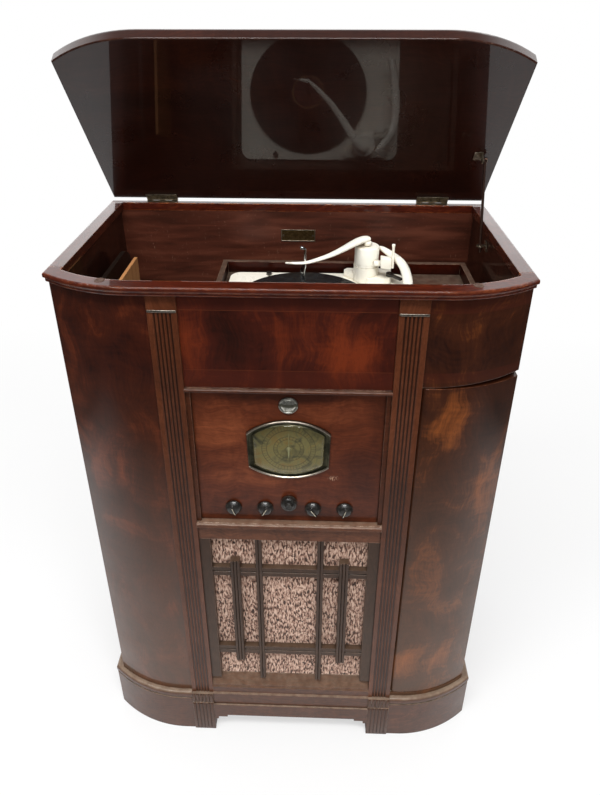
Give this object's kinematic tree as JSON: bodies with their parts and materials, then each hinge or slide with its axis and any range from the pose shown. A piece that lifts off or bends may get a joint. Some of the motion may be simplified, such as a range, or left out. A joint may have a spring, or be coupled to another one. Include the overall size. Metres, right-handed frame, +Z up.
{
  "type": "radio gramophone cabinet",
  "caption": "Bow-fronted wooden radio gramophone cabinet with lifting lid, record changer, radio dial and knobs, loudspeaker grille and a curved record cupboard door.",
  "frame": {"origin": "middle of the whole footprint at floor level, with the lid open as it stands at rest", "axes": "+Z up, +X to the right as seen from the front, the front faces -Y"},
  "size_m": [0.79, 0.433, 1.4451],
  "materials": {
    "veneer": "figured veneer, polished",
    "dark_wood": "stained and polished",
    "bare_wood": "bare plywood",
    "brass": "aged",
    "cloth": "woven",
    "black_metal": "satin",
    "cream_enamel": "gloss",
    "cream_plastic": "gloss",
    "steel": "satin",
    "chrome": "polished",
    "shellac": "grooved",
    "bakelite": "moulded, worn",
    "chassis_metal": "satin",
    "bronze": "darkened",
    "dial_face": "satin",
    "glass": "clear"
  },
  "bodies": {
    "cabinet": {"side_left": "veneer", "side_right": "veneer", "curved_panel_left": "veneer", "curved_panel_right": "veneer", "back_panel": "bare_wood", "bottom_board": "bare_wood", "partition_left": "bare_wood", "partition_right": "bare_wood", "well_floor": "dark_wood", "chassis_shelf": "bare_wood", "pilaster_left": "dark_wood", "pilaster_right": "dark_wood", "upper_front_panel": "veneer", "fascia_moulding": "dark_wood", "radio_fascia": "veneer", "shelf_rail": "dark_wood", "grille_fret": "dark_wood", "grille_cloth": "cloth", "baffle_board": "bare_wood", "loudspeaker": "black_metal", "lower_rail": "dark_wood", "plinth_left": "dark_wood", "plinth_right": "dark_wood", "plinth_apron": "dark_wood", "rim_front_rail": "veneer", "rim_left": "veneer", "rim_right": "veneer", "rim_back_rail": "veneer", "deck_box": "dark_wood", "motor_board": "bare_wood", "record_rack": "dark_wood", "hinge_leaves_case": "brass", "stay_guide": "brass", "door_pivots": "brass", "deck_plate": "cream_enamel", "spindle": "chrome", "motor": "black_metal", "arm_base": "cream_plastic", "radio_chassis": "chassis_metal", "dial_escutcheon": "bronze", "dial_plate": "dial_face", "dial_glass": "glass"},
    "lid": {"lid": "veneer", "hinge_leaves_lid": "brass", "stay_bracket": "brass"},
    "stay": {"stay_rod": "brass"},
    "door": {"record_door": "veneer"},
    "turntable": {"turntable": "steel", "disc": "shellac"},
    "steady_arm": {"steady_arm": "cream_plastic"},
    "pickup_turret": {"pickup_turret": "cream_plastic"},
    "pickup_arm": {"pickup_arm": "cream_plastic"},
    "reject_lever": {"reject_lever": "bakelite"},
    "speed_knob": {"speed_knob": "bakelite"},
    "tuning": {"tuning_knob": "bakelite"},
    "pointer": {"dial_pointer": "black_metal"},
    "volume": {"volume_knob": "bakelite"},
    "tone": {"tone_knob": "bakelite"},
    "wave": {"wave_knob": "bakelite"},
    "selector": {"selector_knob": "bakelite"}
  },
  "joints": [
    {"name": "lid_hinge", "type": "hinge", "parent": "cabinet", "child": "lid", "pos_m": [0, 0.19952, 1.109], "axis": [1, 0, 0], "range_deg": [0, 54]},
    {"name": "stay_swing", "type": "hinge", "parent": "lid", "child": "stay", "pos_m": [0.349, 0.10622, 1.21803], "axis": [1, 0, 0], "range_deg": [-27, 0]},
    {"name": "door_hinge", "type": "hinge", "parent": "cabinet", "child": "door", "pos_m": [0.2235, -0.19148, 0.1375], "axis": [0, 0, -1], "range_deg": [0, 90]},
    {"name": "turntable_spin", "type": "hinge", "parent": "cabinet", "child": "turntable", "pos_m": [0.02, -0.03648, 0.986], "axis": [0, 0, -1], "continuous": true},
    {"name": "steady_arm_swing", "type": "hinge", "parent": "cabinet", "child": "steady_arm", "pos_m": [0.14, 0.08152, 1.062], "axis": [0, 0, 1], "range_deg": [0, 60]},
    {"name": "pickup_swing", "type": "hinge", "parent": "cabinet", "child": "pickup_turret", "pos_m": [0.14, 0.08152, 1.03], "axis": [0, 0, 1], "range_deg": [-50, 0]},
    {"name": "pickup_lift", "type": "hinge", "parent": "pickup_turret", "child": "pickup_arm", "pos_m": [0.14, 0.08152, 1.0464], "axis": [0.9272, 0.3746, 0], "range_deg": [-5, 7.5]},
    {"name": "reject_turn", "type": "hinge", "parent": "cabinet", "child": "reject_lever", "pos_m": [0.185, 0.06752, 1.002], "axis": [0, 0, 1], "range_deg": [-15, 0], "stiffness_Nm_per_rad": 0.02},
    {"name": "speed_turn", "type": "hinge", "parent": "cabinet", "child": "speed_knob", "pos_m": [-0.051, 0.09752, 0.986], "axis": [0, 0, 1], "range_deg": [0, 90]},
    {"name": "tuning_turn", "type": "hinge", "parent": "cabinet", "child": "tuning", "pos_m": [0, -0.19948, 0.6727], "axis": [0, -1, 0], "range_deg": [-540, 540]},
    {"name": "pointer_turn", "type": "hinge", "parent": "cabinet", "child": "pointer", "pos_m": [0, -0.18748, 0.79], "axis": [0, -1, 0], "range_deg": [-90, 90]},
    {"name": "volume_turn", "type": "hinge", "parent": "cabinet", "child": "volume", "pos_m": [-0.1, -0.19948, 0.6575], "axis": [0, -1, 0], "range_deg": [-120, 150]},
    {"name": "tone_turn", "type": "hinge", "parent": "cabinet", "child": "tone", "pos_m": [-0.043, -0.19948, 0.6575], "axis": [0, -1, 0], "range_deg": [-150, 120]},
    {"name": "wave_turn", "type": "hinge", "parent": "cabinet", "child": "wave", "pos_m": [0.043, -0.19948, 0.6575], "axis": [0, -1, 0], "range_deg": [-30, 60]},
    {"name": "selector_turn", "type": "hinge", "parent": "cabinet", "child": "selector", "pos_m": [0.1, -0.19948, 0.6575], "axis": [0, -1, 0], "range_deg": [-60, 30]}
  ],
  "couplings": [
    {"joint": "stay_swing", "follows": "lid_hinge", "ratio": -0.5},
    {"joint": "pointer_turn", "follows": "tuning_turn", "ratio": 0.16667}
  ]
}
